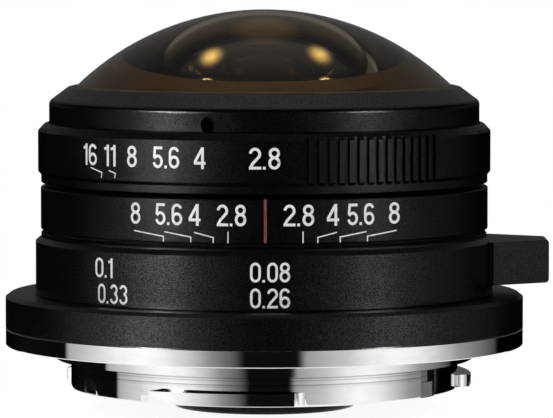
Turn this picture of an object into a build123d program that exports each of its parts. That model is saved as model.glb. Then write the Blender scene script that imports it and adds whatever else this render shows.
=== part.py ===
from build123d import *
import os
from math import atan2, cos, degrees, hypot, radians, sin, sqrt

# Compact circular fisheye lens, in millimetres. The origin is the centre of the bayonet flange's seating
# face. +Z is the optical axis, towards the front glass. The index line is on the -Y side and the focus
# lever points along +X, with focus at its closest and the aperture fully open.

# Clearances
run_gap = 0.08        # radial, between turning pieces
thread_gap = 0.06     # radial, in the focusing thread
slide_gap = 0.05      # beside the guide keys
pin_gap = 0.03        # round the iris pins
seat_gap = 0.02       # between pieces screwed, pressed or cemented together
axial_gap = 0.06      # along the axis, between turning pieces

# Travel
focus_throw = 90.0        # degrees, from closest focus to infinity
focus_travel = 0.39       # the optics draw back this far over the throw
aperture_throw = 43.7     # degrees, from f/2.8 to f/16

# Outer diameters: each ring stands proud of the aperture ring, or in from it
body_r = 22.60
flange_proud = 3.28
base_inset = -0.01        # from the flange
focus_proud = 0.26
depth_inset = 0.26
lip_inset = 0.30
front_inset = 1.11
front_slope = 1.87        # how far the front ring's cone draws in
edge_break = 0.07

# Heights of the outer rings, from the mount to the front
flange_t = 1.68
base_ring_h = 3.38
focus_ring_h = 6.12
washer_space = 0.34
depth_ring_h = 4.17
aperture_ring_h = 5.89
front_wall_h = 2.15
front_cone_h = 1.50

# Bayonet mount
spigot_r = 20.83
spigot_h = 1.38
tube_r = 19.36
tube_h = 4.44
tube_bore = 17.9
tube_edge = 0.2
lug_r = 20.70
lug_low = -4.22
lug_high = -3.03
lug_spans = [(-122.7, -82.0), (-6.3, 34.4), (124.8, 165.5)]
lug_fillet = 1.3
stop_notch_w = 1.6
stop_notch_h = 0.8
stop_notch_offset = 3.1   # degrees before the first lug
tube_slot_w = 2.7
tube_slot_low = -4.19
tube_slot_high = -2.85
tube_slot_depth = 0.8
tube_slot_angle = -152.4
tube_flat_w = 2.4
tube_flat_depth = 0.12
tube_pocket_low = -2.88
tube_pocket_high = -1.71
tube_pocket_depth = 0.4
tube_flat_angle = -34.2
lock_slot_w = 2.2
lock_slot_l = 3.4
lock_slot_angle = 165.0

# Screws of the mount
mount_screw_angles = [30, 120, 210, 300]
mount_screw_r = 0.8
mount_screw_l = 3.3
mount_head_r = 1.5
mount_head_h = 0.7
mount_head_sunk = 0.05
cross_l = 1.7
cross_w = 0.36
cross_depth = 0.3

# Light baffle in the mount's tube
baffle_top = -2.5
baffle_t = 0.8
baffle_lip_w = 0.8
baffle_lip_h = 0.4
baffle_gap = 0.4          # round the rear cell

# Base ring and its index dot
foot_w = 1.4
foot_t = 1.2
base_chamfer_w = 0.46
base_chamfer_h = 0.34
index_r = 0.9
index_l = 0.8
index_sunk = 0.05
index_angle = 62.0

# Focus ring and its washer
focus_wall = 2.48
focus_chamfer_w = 0.56
focus_chamfer_h = 0.46
focus_neck_h = 0.42       # the plain neck above its chamfer
washer_inset = 0.9

# Focus lever and its screws
lever_reach = 5.53        # beyond the focus ring
lever_tip_w = 4.6
lever_root_w = 12.0
lever_shoulder = 0.6
lever_rise = 1.07         # its underside, above the focus ring's
lever_h = 4.31
lever_edge = 0.4
lever_flat = 0.75         # depth of its seat in the ring
lever_flat_margin = 1.0   # the root's overhang past the seat, at each side
lever_screw_space = 5.0
lever_screw_r = 0.5
lever_screw_l = 1.6       # inside the lever
lever_head_r = 0.85
lever_head_sunk = 0.35
lever_head_h = 0.53

# Aperture ring, and the grub screw and grips on it
aperture_web = 3.52
aperture_lip_h = 0.78
aperture_flare = 0.34
aperture_chamfer_h = 0.75
aperture_land = 0.30      # the flat top edge round the front ring
aperture_round = 0.4      # between that edge and the chamfer
aperture_front_gap = 0.11
aperture_step = 0.84
aperture_collar_h = 0.67
grip_count = 5
grip_first = -61.6        # angle of the first grip's middle about +Z
grip_spacing = 60.0
groove_count = 15
groove_pitch = 2.6        # degrees
groove_w = 0.46
groove_depth = 0.30

# Front ring and its grub screw
front_shoulder = 0.7
front_relief = 0.3        # the skirt below its wall draws in
front_relief_top = 0.05   # above the aperture ring
front_lip_w = 0.35
front_lip_h = 0.10
cross_hole_r = 0.73
cross_hole_rise = 0.69    # above the aperture ring
cross_hole_angle = -104.5
front_grub_l = 1.1

# Grub screws
grub_r = 0.75
grub_socket_r = 0.35
grub_socket_l = 0.9
grub_sunk = 0.3

# Barrels and the focusing nut
fixed_wall = 1.4
fixed_drop = 0.7          # its top, below the scale ring's
helicoid_wall = 1.52
helicoid_h = 5.0
helicoid_rise = 0.48      # above the focus ring's underside
retainer_h = 0.8
shelf_gap = 0.25
barrel_wall = 1.74
barrel_tail = 1.6         # below the nut
collar_proud = 0.32
collar_rise = 0.03
collar_h = 0.58
head_wall = 0.28          # outside the front glass
web_t = 0.8

# Keys
key_w = 3.0
key_h = 2.4
focus_key_angles = [60, 240]
focus_key_margin = 1.2    # metal left outside the key in the focus ring
focus_key_floor = 0.6     # metal left inside it in the nut
guide_key_angles = [0, 180]
guide_key_depth = 0.9     # into the optical barrel
guide_key_drop = 0.55     # below the middle of the scale ring
guide_key_inset = 0.1     # from the fixed barrel's outside
guide_slot_spare = 0.5

# Spanner slots of the threaded rings
spanner_w = 1.2
spanner_depth = 0.4
small_spanner_w = 1.0
small_spanner_depth = 0.35

# Front element, its seat and its seal
front_seat_rise = 0.9     # above the aperture ring
front_glass_gap = 0.06
front_glass_curve = 26.91
front_glass_rim = 2.79
front_back_depth = 7.766
front_back_margin = 0.95  # between its hollow and the front cell's collar
seal_inset = 0.81
seal_cord_r = 0.28
seal_groove_w = 0.72
seal_groove_h = 0.6

# Elements in the front cell: edge radius, rim thickness, curvatures and rings of ground edge.
# A positive curvature bulges towards the front.
cell_gap = 0.05           # between glass and cell
second_r = 10.0
second_rim = 2.1
second_front_curve = 16.0
second_back_curve = 7.0
second_edge = 0.7
second_back_clear = 6.1
second_drop = 1.8         # its seat, below the front element's
small_r = 6.15
third_rim = 1.8
third_front_curve = 25.0
third_back_curve = 8.5
third_front_edge = 0.55
third_back_edge = 1.15
fourth_rim = 0.57
fourth_front_curve = 9.0
fourth_back_curve = -14.0
fourth_edge = 1.25
element_spacer_h = 0.65
cell_iris_gap = 0.17      # above the iris cover
cell_floor_t = 1.08
cell_floor_w = 1.0
cell_neck_wall = 1.6
cell_disc_t = 0.8
cell_wall = 0.90
cell_drop = 0.3           # its rim, below the front element's seat
cell_collar_h = 1.05
retainer_w = 0.68
second_retainer_h = 0.65
small_retainer_w = 0.53
small_retainer_h = 0.6

# Rear cell and its elements
rear_cell_r = 9.2
rear_cell_low = -6.32
rear_round = 0.5
rear_mouth = 0.8
rear_flange_w = 1.3
rear_flange_t = 1.0
fifth_r = 5.0
fifth_rim = 1.4
fifth_curve = 11.0
fifth_edge = 0.7
fifth_drop = 2.4          # its seat, below the iris
fifth_floor_t = 0.7
rear_glass_r = 6.5
sixth_rim_h = 4.55
sixth_front_curve = 14.0
cement_curve = 7.5
rear_rim_h = 1.6
rear_back_curve = -16.0
rear_edge = 0.7
sixth_edge = 0.5
rear_spacer_w = 0.45
rear_seat_rise = 1.7      # above the rear cell's lower end

# Iris
blade_count = 7
blade_t = 0.09
blade_pitch = 0.14
stop_open_r = 2.60
stop_closed_r = 0.455
blade_span = (-5.0, 120.0)
neck_l = 1.5
neck_w = 1.3
pivot_r = 6.6
blade_margin = 1.0        # between the blades' outer edge and the pivots
pivot_pin_r = 0.25
cam_pin_out = 0.12        # the cam pin, out from the pivot and back along the rim
cam_pin_back = 2.0
ear_r = 0.55
iris_drop = 3.21          # its seat, below the aperture ring
iris_margin = 1.7         # outside the pivots
iris_wall = 1.0
iris_foot_w = 2.7
iris_plate_t = 0.8
iris_play = 0.06
cam_play = 0.03
cam_t = 0.6
cam_rim = 1.0             # metal inside the cam slots' pivot circle
cover_t = 0.4
cover_wall = 0.45
iris_screw_angles = [20, 200, 290]
iris_screw_out = 1.4      # outside the housing's wall
iris_screw_r = 0.5
iris_head_r = 0.9
iris_head_h = 0.48

# Drive from the aperture ring to the iris
drive_angle = 90.0
drive_rise = 2.19         # above the aperture ring's underside
drive_r = 0.6
drive_slot_spare = 0.15
drive_head_r = 1.1
drive_head_l = 0.9
drive_head_sunk = 0.3
drive_socket_r = 0.45
drive_socket_l = 0.5
arm_w = 3.0
arm_t = 1.8
arm_gap = 0.3             # inside the optical barrel
arm_margin = 1.1
arm_screw_r = 0.45
arm_screw_l = 1.5
arm_head_r = 0.7
arm_head_h = 0.38
arm_sweep_gap = 0.3

# Radii of the outer rings
flange_r = body_r + flange_proud
base_r = flange_r - base_inset
focus_ring_r = body_r + focus_proud
depth_ring_r = body_r - depth_inset
aperture_lip_r = body_r - lip_inset
front_ring_r = body_r - front_inset
front_rim_r = front_ring_r - front_slope

# Radii worked out from the focus ring inwards
focus_bore = focus_ring_r - focus_wall
fixed_r = focus_bore - run_gap
fixed_bore = fixed_r - fixed_wall
foot_r = fixed_r + foot_w
helicoid_r = fixed_bore - run_gap
helicoid_bore = helicoid_r - helicoid_wall
barrel_r = helicoid_bore - thread_gap
barrel_bore = barrel_r - barrel_wall
shelf_r = helicoid_bore + shelf_gap
collar_r = fixed_r + collar_proud
head_r = body_r - aperture_web - run_gap
front_glass_r = head_r - head_wall
seal_r = front_glass_r - seal_inset
mount_screw_circle = (foot_r + base_r) / 2
focus_key_outer = focus_ring_r - focus_key_margin
focus_key_inner = helicoid_bore + focus_key_floor
guide_key_tip = barrel_r - guide_key_depth

# Radii of the cells and the iris
front_back_clear = second_r + cell_gap + cell_wall + front_back_margin
front_back_curve = (front_back_clear ** 2 + front_back_depth ** 2) / (2 * front_back_depth)
blade_outer_r = pivot_r - blade_margin
iris_bore = pivot_r + iris_margin
iris_outer_r = iris_bore + iris_wall
iris_foot_r = iris_outer_r + iris_foot_w
iris_screw_circle = iris_outer_r + iris_screw_out

# Heights worked out from the ring stack
foot_top = flange_t + foot_t
base_top = flange_t + base_ring_h
focus_low = base_top + axial_gap
focus_top = focus_low + focus_ring_h
depth_low = focus_top + washer_space
depth_top = depth_low + depth_ring_h
aperture_low = depth_top + focus_travel + axial_gap + 0.01
aperture_top = aperture_low + aperture_ring_h
front_wall_top = aperture_top + front_wall_h
rim_top = front_wall_top + front_cone_h
index_z = (flange_t + base_top) / 2
depth_screw_z = (depth_low + depth_top) / 2
helicoid_low = focus_low + helicoid_rise
helicoid_top = helicoid_low + helicoid_h
key_z = helicoid_low + helicoid_h / 2
guide_z = depth_screw_z - guide_key_drop
drive_z = aperture_low + drive_rise
cross_hole_z = aperture_top + cross_hole_rise

# Layers of the iris
iris_z = aperture_low - iris_drop
blade_low = iris_z + iris_plate_t + iris_play
cam_low = blade_low + blade_count * blade_pitch + cam_play
cam_top = cam_low + cam_t
cover_low = cam_top + iris_play
arm_low = cam_top + seat_gap
arm_outer = barrel_bore - arm_gap
arm_inner = arm_outer - arm_t
arm_screw_x = (arm_inner + arm_outer) / 2

# Seats of the glass
glass_seat = aperture_top + front_seat_rise
second_seat = glass_seat - second_drop
cell_low = cover_low + cover_t + cell_iris_gap
fourth_seat = cell_low + cell_floor_t
third_seat = fourth_seat + fourth_rim + element_spacer_h
fifth_seat = iris_z - fifth_drop
rear_seat = rear_cell_low + rear_seat_rise
cement_rim = rear_seat + rear_rim_h
sixth_rim = cement_rim + sixth_rim_h

# Places of the focus lever
lever_seat = focus_ring_r - lever_flat
lever_low = focus_low + lever_rise
lever_high = lever_low + lever_h
lever_z = (lever_low + lever_high) / 2
lever_flat_w = lever_root_w - 2 * lever_flat_margin
lever_tip = focus_ring_r + lever_reach
lever_screw_ys = [-lever_screw_space / 2, lever_screw_space / 2]

# The inscribed stop closes in step with the ring's turn, so each blade turns at a constant ratio to it.
blade_turn = 2 * degrees(atan2((stop_open_r - stop_closed_r) / 2, pivot_r))
blade_ratio = blade_turn / aperture_throw


def ring(*outline):
    """A body turned about Z from its outline of (radius, height) points."""
    return revolve(Plane.XZ * make_face(Polyline(*outline, close=True)), Axis.Z)


def tube(inner_r, outer_r, low, high):
    return ring((inner_r, low), (outer_r, low), (outer_r, high), (inner_r, high))


def sector(inner_r, outer_r, low, high, start, end):
    """The part of a tube between two angles about Z."""
    outline = [(inner_r, low), (outer_r, low), (outer_r, high), (inner_r, high)]
    section = Plane.XZ * make_face(Polyline(*outline, close=True))
    return Rot(0, 0, start) * revolve(section, Axis.Z, end - start)


def block(inner_x, outer_x, width, low, high, angle=0):
    """A block that lies along a radial line at an angle."""
    size = Box(outer_x - inner_x, width, high - low, align=(Align.MIN, Align.CENTER, Align.MIN))
    return Rot(0, 0, angle) * Pos(inner_x, 0, low) * size


def post(radius, x, low, high, angle=0):
    """A cylinder parallel to the axis."""
    rod = Cylinder(radius, high - low, align=(Align.CENTER, Align.CENTER, Align.MIN))
    return Rot(0, 0, angle) * Pos(x, 0, low) * rod


def radial_pin(radius, inner_x, outer_x, z, angle=0):
    """A cylinder along a radial line."""
    rod = Cylinder(radius, outer_x - inner_x, align=(Align.CENTER, Align.CENTER, Align.MIN))
    return Rot(0, 0, angle) * Pos(inner_x, 0, z) * Rot(0, 90, 0) * rod


def rotated(x, y, angle):
    """A point turned about the axis by an angle in degrees."""
    a = radians(angle)
    return (x * cos(a) - y * sin(a), x * sin(a) + y * cos(a))


def sag(curve, radius):
    """How far a lens surface falls back from its apex at a radius."""
    depth = abs(curve) - sqrt(curve ** 2 - radius ** 2)
    return depth if curve > 0 else -depth


def surface(apex, curve, clear_r):
    """The outline of a lens surface, from the axis to its clear radius."""
    middle = (clear_r / 2, apex - sag(curve, clear_r / 2))
    edge = (clear_r, apex - sag(curve, clear_r))
    return ThreePointArc((0, apex), middle, edge)


def element(edge_r, front, back):
    """A lens element. Each face is given as (rim height, curvature, clear radius)."""
    front_apex = front[0] + sag(front[1], front[2])
    back_apex = back[0] + sag(back[1], back[2])
    corners = [(front[2], front[0]), (edge_r, front[0]), (edge_r, back[0]), (back[2], back[0])]
    if front[2] == edge_r:
        corners = corners[1:]
    edges = [
        surface(front_apex, front[1], front[2]),
        Polyline(*corners),
        surface(back_apex, back[1], back[2]),
        Line((0, back_apex), (0, front_apex)),
    ]
    return revolve(Plane.XZ * make_face(edges), Axis.Z)


# Bayonet mount

def lug_roots(body):
    """The upright edges where the lugs meet the tube, but for the one at the rotation stop."""
    stop = lug_spans[0][0]
    roots = []
    for edge in body.edges().filter_by(Axis.Z):
        middle = edge.center()
        on_tube = abs(hypot(middle.X, middle.Y) - tube_r) < 0.01
        beside_stop = abs(degrees(atan2(middle.Y, middle.X)) - stop) < 1
        if on_tube and lug_low < middle.Z < lug_high and not beside_stop:
            roots.append(edge)
    return roots


def bayonet_mount():
    """The mount turned and milled in one: seating flange, spigot, and a tube with three lugs."""
    c = edge_break
    body = ring((tube_bore, -tube_h), (tube_r - tube_edge, -tube_h), (tube_r, tube_edge - tube_h),
                (tube_r, -spigot_h), (spigot_r, -spigot_h), (spigot_r, 0), (flange_r - c, 0), (flange_r, c),
                (flange_r, flange_t - c), (flange_r - c, flange_t), (tube_bore, flange_t))
    for start, end in lug_spans:
        body += sector(tube_r - 0.5, lug_r, lug_low, lug_high, start, end)
    body = fillet(lug_roots(body), lug_fillet)
    body -= block(tube_bore - 1, lug_r, stop_notch_w, -tube_h - 1, -tube_h + stop_notch_h,
                  lug_spans[0][0] - stop_notch_offset)
    body -= block(tube_r - tube_slot_depth, lug_r, tube_slot_w, tube_slot_low, tube_slot_high,
                  tube_slot_angle)
    flat_r = tube_r * cos(tube_flat_w / 2 / tube_r)
    body -= block(flat_r - tube_flat_depth, lug_r, tube_flat_w, -tube_h - 1, tube_pocket_high,
                  tube_flat_angle)
    body -= block(flat_r - tube_pocket_depth, lug_r, tube_flat_w, tube_pocket_low, tube_pocket_high,
                  tube_flat_angle)
    for angle in mount_screw_angles:
        body -= post(mount_head_r + seat_gap, mount_screw_circle, -1, mount_head_sunk + mount_head_h, angle)
        body -= post(mount_screw_r + seat_gap, mount_screw_circle, 0, flange_t + 1, angle)
    slot = extrude(SlotOverall(lock_slot_l, lock_slot_w), flange_t + 2)
    return body - Rot(0, 0, lock_slot_angle) * Pos(mount_screw_circle, 0, -1) * slot


def mount_screws():
    """Four flat-headed screws with cross recesses, sunk in the seating face."""
    screws = []
    low = mount_head_sunk
    cross_h = 2 * (low + cross_depth)
    cross = Box(cross_l, cross_w, cross_h) + Box(cross_w, cross_l, cross_h)
    for angle in mount_screw_angles:
        head = post(mount_head_r, mount_screw_circle, low, low + mount_head_h, angle)
        shank = post(mount_screw_r, mount_screw_circle, low, mount_screw_l, angle)
        screws.append(head + shank - Rot(0, 0, angle) * Pos(mount_screw_circle, 0, 0) * cross)
    return Compound(children=screws)


def mount_baffle():
    """The light baffle pressed into the mount's tube, with a lip round the rear cell."""
    inner, outer = rear_cell_r + baffle_gap, tube_bore - seat_gap
    low = baffle_top - baffle_t
    return ring((inner, low - baffle_lip_h), (inner + baffle_lip_w, low - baffle_lip_h),
                (inner + baffle_lip_w, low), (outer, low), (outer, baffle_top), (inner, baffle_top))


# Fixed pieces

def base_ring():
    """The ring between the mount and the focus ring, clamped over the fixed barrel's foot."""
    body = ring((foot_r + seat_gap, flange_t), (base_r - edge_break, flange_t),
                (base_r, flange_t + edge_break), (base_r, base_top - base_chamfer_h),
                (base_r - base_chamfer_w, base_top), (fixed_r + seat_gap, base_top),
                (fixed_r + seat_gap, foot_top + seat_gap), (foot_r + seat_gap, foot_top + seat_gap))
    for angle in mount_screw_angles:
        body -= post(mount_screw_r + seat_gap, mount_screw_circle, flange_t - 1, mount_screw_l + 0.2, angle)
    return body - radial_pin(index_r + seat_gap, base_r - index_l, base_r + 1, index_z, index_angle)


def index_dot():
    """The dot that lines the mount up with the camera, set into the base ring on the far side."""
    return radial_pin(index_r, base_r - index_l + seat_gap, base_r - index_sunk, index_z, index_angle)


def fixed_barrel():
    """The barrel that joins the base to the scale ring, with windows for the drive and guide keys."""
    top = depth_top - fixed_drop
    shelf = helicoid_low - axial_gap
    body = ring((shelf_r, flange_t), (foot_r, flange_t), (foot_r, foot_top), (fixed_r, foot_top),
                (fixed_r, top), (fixed_bore, top), (fixed_bore, shelf), (shelf_r, shelf))
    low, high = key_z - key_h / 2 - axial_gap, key_z + key_h / 2 + axial_gap
    half_key = degrees(key_w / 2 / fixed_bore) + 0.6
    for angle in focus_key_angles:
        body -= sector(fixed_bore - 1, fixed_r + 1, low, high, angle - half_key,
                       angle + focus_throw + half_key)
    for angle in guide_key_angles:
        body -= block(fixed_bore - 1, fixed_r + 1, key_w + 2 * seat_gap, guide_z - key_h / 2 - seat_gap,
                      guide_z + key_h / 2 + seat_gap, angle)
    return body - radial_pin(grub_r + seat_gap, fixed_bore - 1, fixed_r + 1, depth_screw_z, drive_angle)


def depth_scale_ring():
    """The fixed ring that carries the index line and the depth of field scale."""
    c = edge_break
    bore = fixed_r + seat_gap
    body = ring((bore, depth_low), (depth_ring_r - c, depth_low), (depth_ring_r, depth_low + c),
                (depth_ring_r, depth_top - c), (depth_ring_r - c, depth_top), (bore, depth_top))
    return body - radial_pin(grub_r + seat_gap, fixed_r - 1, depth_ring_r + 1, depth_screw_z, drive_angle)


def depth_ring_screw():
    """The grub screw on the far side that holds the scale ring to the fixed barrel."""
    outer = depth_ring_r - grub_sunk
    body = radial_pin(grub_r, fixed_bore + grub_sunk, outer, depth_screw_z, drive_angle)
    return body - radial_pin(grub_socket_r, outer - grub_socket_l, outer + 1, depth_screw_z, drive_angle)


def guide_keys():
    """Two keys, trapped under the scale ring, that let the optics slide but not turn."""
    low, high = guide_z - key_h / 2, guide_z + key_h / 2
    return Compound(children=[block(guide_key_tip, fixed_r - guide_key_inset, key_w, low, high, angle)
                              for angle in guide_key_angles])


def helicoid_retainer():
    """The threaded ring over the focusing nut, with two spanner slots."""
    low = helicoid_top + axial_gap
    high = low + retainer_h
    body = tube(shelf_r, fixed_bore - seat_gap, low, high)
    for angle in (30, 210):
        body -= block(shelf_r - 1, (shelf_r + fixed_bore) / 2, spanner_w, high - spanner_depth, high + 1,
                      angle)
    return body


# Focusing

def focus_ring():
    """The turned focusing ring, with grooves inside for the drive keys and a flat for the lever."""
    c = edge_break
    neck_r, neck_low = focus_ring_r - focus_chamfer_w, focus_top - focus_neck_h
    body = ring((focus_bore, focus_low), (focus_ring_r - c, focus_low), (focus_ring_r, focus_low + c),
                (focus_ring_r, neck_low - focus_chamfer_h), (neck_r, neck_low), (neck_r, focus_top - c),
                (neck_r - c, focus_top), (focus_bore, focus_top))
    for angle in focus_key_angles:
        body -= block(focus_bore - 1, focus_key_outer, key_w + 2 * seat_gap,
                      key_z - key_h / 2 - seat_gap, focus_top + 1, angle)
    body -= block(lever_seat, focus_ring_r + 1, lever_flat_w, lever_low, focus_top + 1)
    recess = focus_bore + lever_head_sunk + lever_head_h + seat_gap
    for y in lever_screw_ys:
        body -= Pos(0, y, 0) * radial_pin(lever_head_r + seat_gap, 0, recess, lever_z)
        body -= Pos(0, y, 0) * radial_pin(lever_screw_r + seat_gap, 0, focus_ring_r + 1, lever_z)
    return body


def focus_lever():
    """The lever that the finger pushes: it tapers to its tip and seats in a flat on the ring."""
    root, tip, seat = lever_root_w / 2, lever_tip_w / 2, lever_flat_w / 2 - seat_gap
    shoulder_x = sqrt((focus_ring_r + seat_gap) ** 2 - root ** 2)
    plan = make_face(Polyline((lever_seat, -seat), (shoulder_x, -root), (shoulder_x + lever_shoulder, -root),
                              (lever_tip, -tip), (lever_tip, tip), (shoulder_x + lever_shoulder, root),
                              (shoulder_x, root), (lever_seat, seat), close=True))
    body = Pos(0, 0, lever_low + seat_gap) * extrude(plan, lever_h - seat_gap)
    body = fillet([e for e in body.edges() if e.center().X > lever_tip - 0.1], lever_edge)
    beside_seat = Cylinder(focus_ring_r + seat_gap, 4 * lever_high) - Box(100, 2 * seat, 100)
    body -= beside_seat
    for y in lever_screw_ys:
        body -= Pos(0, y, 0) * radial_pin(lever_screw_r + seat_gap, 0, lever_seat + lever_screw_l + 0.1,
                                          lever_z)
    return body


def lever_screws():
    """Two screws put in from inside the ring before it goes over the barrel."""
    screws = []
    head_x = focus_bore + lever_head_sunk
    for y in lever_screw_ys:
        screw = radial_pin(lever_head_r, head_x, head_x + lever_head_h, lever_z)
        screw += radial_pin(lever_screw_r, head_x, lever_seat + lever_screw_l, lever_z)
        screws.append(Pos(0, y, 0) * screw)
    return Compound(children=screws)


def focus_helicoid():
    """The brass focusing nut, with two pockets for the drive keys."""
    body = tube(helicoid_bore, helicoid_r, helicoid_low, helicoid_top)
    for angle in focus_key_angles:
        body -= block(focus_key_inner, helicoid_r + 1, key_w + 2 * seat_gap,
                      key_z - key_h / 2 - seat_gap, helicoid_top + 1, angle)
    return body


def focus_drive_keys():
    """Two keys that turn the nut with the ring, through the windows of the fixed barrel."""
    low, high = key_z - key_h / 2, key_z + key_h / 2
    return Compound(children=[block(focus_key_inner + seat_gap, focus_key_outer - seat_gap, key_w, low,
                                    high, angle) for angle in focus_key_angles])


def focus_washer():
    """The friction washer between the focus ring and the scale ring."""
    return tube(focus_bore + 0.05, focus_ring_r - washer_inset, focus_top + 0.01, depth_low - axial_gap)


# Optical barrel

def lens_barrel():
    """The barrel that slides to focus: thread below, guide slots, a web for the cells and a head."""
    tail = helicoid_low - barrel_tail
    collar_low = aperture_low + collar_rise
    collar_top = collar_low + collar_h
    cell_bore = rear_cell_r + seat_gap
    body = ring((barrel_bore, tail), (barrel_r, tail), (barrel_r, collar_low), (collar_r, collar_low),
                (collar_r, collar_top), (head_r, collar_top), (head_r, glass_seat),
                (barrel_bore, glass_seat), (barrel_bore, iris_z), (cell_bore, iris_z),
                (cell_bore, iris_z - web_t), (barrel_bore, iris_z - web_t))
    for angle in guide_key_angles:
        body -= block(guide_key_tip - 0.15, barrel_r + 1, key_w + 2 * slide_gap,
                      guide_z - key_h / 2 - guide_slot_spare,
                      guide_z + key_h / 2 + guide_slot_spare + focus_travel, angle)
    half_slot = degrees(drive_r / barrel_bore) + 1.0
    body -= sector(barrel_bore - 1, head_r + 1, drive_z - drive_r - drive_slot_spare,
                   drive_z + drive_r + drive_slot_spare, drive_angle - half_slot,
                   drive_angle + aperture_throw + half_slot)
    for angle in iris_screw_angles:
        body -= post(iris_screw_r + seat_gap, iris_screw_circle, iris_z - web_t - 1, iris_z + 1, angle)
    return body - tube(seal_r - seal_groove_w / 2, seal_r + seal_groove_w / 2, glass_seat - seal_groove_h,
                       glass_seat + 1)


def front_seal():
    """The rubber ring under the front element."""
    return Pos(0, 0, glass_seat - seal_cord_r - 0.01) * Torus(seal_r, seal_cord_r)


def front_ring():
    """The ring that screws over the barrel's head and frames the front element."""
    skirt_low, wall_low = aperture_top - aperture_step + axial_gap, aperture_top + front_relief_top
    bore, glass_bore = head_r + seat_gap, front_glass_r + front_glass_gap
    skirt_r = front_ring_r - front_relief
    body = ring((bore, skirt_low), (skirt_r, skirt_low), (skirt_r, wall_low), (front_ring_r, wall_low),
                (front_ring_r, front_wall_top), (front_rim_r, rim_top - front_lip_h),
                (front_rim_r - front_lip_w, rim_top), (glass_bore, rim_top), (glass_bore, glass_seat),
                (bore, glass_seat))
    body = Rot(0, 0, cross_hole_angle + 90) * body      # its seam lies a quarter turn from the hole
    shoulder = [e for e in body.edges().filter_by(GeomType.CIRCLE)
                if abs(e.radius - front_ring_r) < 0.01 and e.center().Z > wall_low + 0.01]
    body = fillet(shoulder, front_shoulder)
    return body - radial_pin(cross_hole_r, head_r + 0.05, front_ring_r + 1, cross_hole_z, cross_hole_angle)


def front_ring_screw():
    """The grub screw deep in the cross hole."""
    inner = head_r + 0.1
    outer = inner + front_grub_l
    body = radial_pin(cross_hole_r - seat_gap, inner, outer, cross_hole_z, cross_hole_angle)
    return body - radial_pin(grub_socket_r, outer - front_grub_l / 2, outer + 1, cross_hole_z,
                             cross_hole_angle)


def front_element():
    """The bulging front meniscus."""
    return element(front_glass_r, (glass_seat + front_glass_rim, front_glass_curve, front_glass_r),
                   (glass_seat + seat_gap, front_back_curve, front_back_clear))


# Front cell

def front_cell():
    """The cell that carries the second to fourth elements behind the front glass."""
    wide, narrow, mouth = second_r + cell_gap, small_r + cell_gap, small_r - cell_floor_w
    disc = second_seat - cell_disc_t
    rim = glass_seat - cell_drop
    collar = glass_seat + cell_collar_h
    return ring((mouth, cell_low), (narrow + cell_neck_wall, cell_low), (narrow + cell_neck_wall, disc),
                (barrel_bore - seat_gap, disc), (barrel_bore - seat_gap, rim), (wide + cell_wall, rim),
                (wide + cell_wall, collar), (wide, collar), (wide, second_seat), (narrow, second_seat),
                (narrow, fourth_seat), (mouth, fourth_seat))


def second_element():
    return element(second_r, (second_seat + second_rim, second_front_curve, second_r - second_edge),
                   (second_seat + seat_gap, second_back_curve, second_back_clear))


def second_retainer():
    """The threaded ring over the second element, with two spanner slots."""
    low = second_seat + second_rim + seat_gap
    high = low + second_retainer_h
    outer = second_r + cell_gap - seat_gap
    body = tube(outer - retainer_w, outer, low, high)
    for angle in (0, 180):
        body -= block(outer - retainer_w - 1, outer - retainer_w / 2, small_spanner_w,
                      high - small_spanner_depth, high + 1, angle)
    return body


def third_element():
    return element(small_r, (third_seat + third_rim, third_front_curve, small_r - third_front_edge),
                   (third_seat, third_back_curve, small_r - third_back_edge))


def cell_retainer():
    """The threaded ring over the third element."""
    low = third_seat + third_rim + seat_gap
    outer = small_r + cell_gap - seat_gap
    return tube(outer - small_retainer_w, outer, low, low + small_retainer_h)


def element_spacer():
    """The spacer between the third and fourth elements."""
    return tube(small_r - cell_floor_w, small_r, fourth_seat + fourth_rim + seat_gap, third_seat - seat_gap)


def fourth_element():
    clear = small_r - fourth_edge
    return element(small_r, (fourth_seat + fourth_rim, fourth_front_curve, clear),
                   (fourth_seat + seat_gap, fourth_back_curve, clear))


# Iris

def cam_pin_start():
    """The cam pin's place at rest, in the blade's own frame with its pivot on +X."""
    return (pivot_r + cam_pin_out, -cam_pin_back)


def cam_pin_at(share):
    """The cam pin's place in the cam ring's frame after a share of the aperture throw."""
    x, y = cam_pin_start()
    x, y = rotated(x - pivot_r, y, share * blade_turn)
    return rotated(x + pivot_r, y, -share * aperture_throw)


def blade_angle(index):
    return index * 360 / blade_count


def lug_window(inner_r, outer_r, low, high):
    """The gap that the cam ring's lug sweeps through."""
    half = degrees((arm_w / 2 + arm_sweep_gap) / inner_r)
    return sector(inner_r - 0.5, outer_r, low, high, drive_angle - half, drive_angle + aperture_throw + half)


def iris_housing():
    """The fixed blade plate with its wall, pivot holes and foot."""
    plate_top = iris_z + iris_plate_t
    bore = stop_open_r + 0.15
    body = ring((bore, iris_z), (iris_foot_r, iris_z), (iris_foot_r, plate_top), (iris_outer_r, plate_top),
                (iris_outer_r, cover_low), (iris_bore, cover_low), (iris_bore, plate_top),
                (bore, plate_top))
    for i in range(blade_count):
        body -= post(pivot_pin_r + pin_gap, pivot_r, iris_z - 1, plate_top + 1, blade_angle(i))
    for angle in iris_screw_angles:
        body -= post(iris_screw_r + seat_gap, iris_screw_circle, iris_z - 1, plate_top + 1, angle)
    return body - lug_window(iris_bore, iris_outer_r + 1, cam_low - 0.1, cover_low + 1)


def iris_cover():
    """The cap pressed over the housing's wall, which keeps the cam ring down."""
    inner, outer = iris_outer_r + seat_gap, iris_outer_r + seat_gap + cover_wall
    mouth = stop_open_r + 0.6
    body = ring((mouth, cover_low), (inner, cover_low), (inner, cam_low - 0.1), (outer, cam_low - 0.1),
                (outer, cover_low + cover_t), (mouth, cover_low + cover_t))
    return body - lug_window(iris_outer_r - 0.1, outer + 1, cam_low - 1, cover_low - 0.01)


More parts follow.
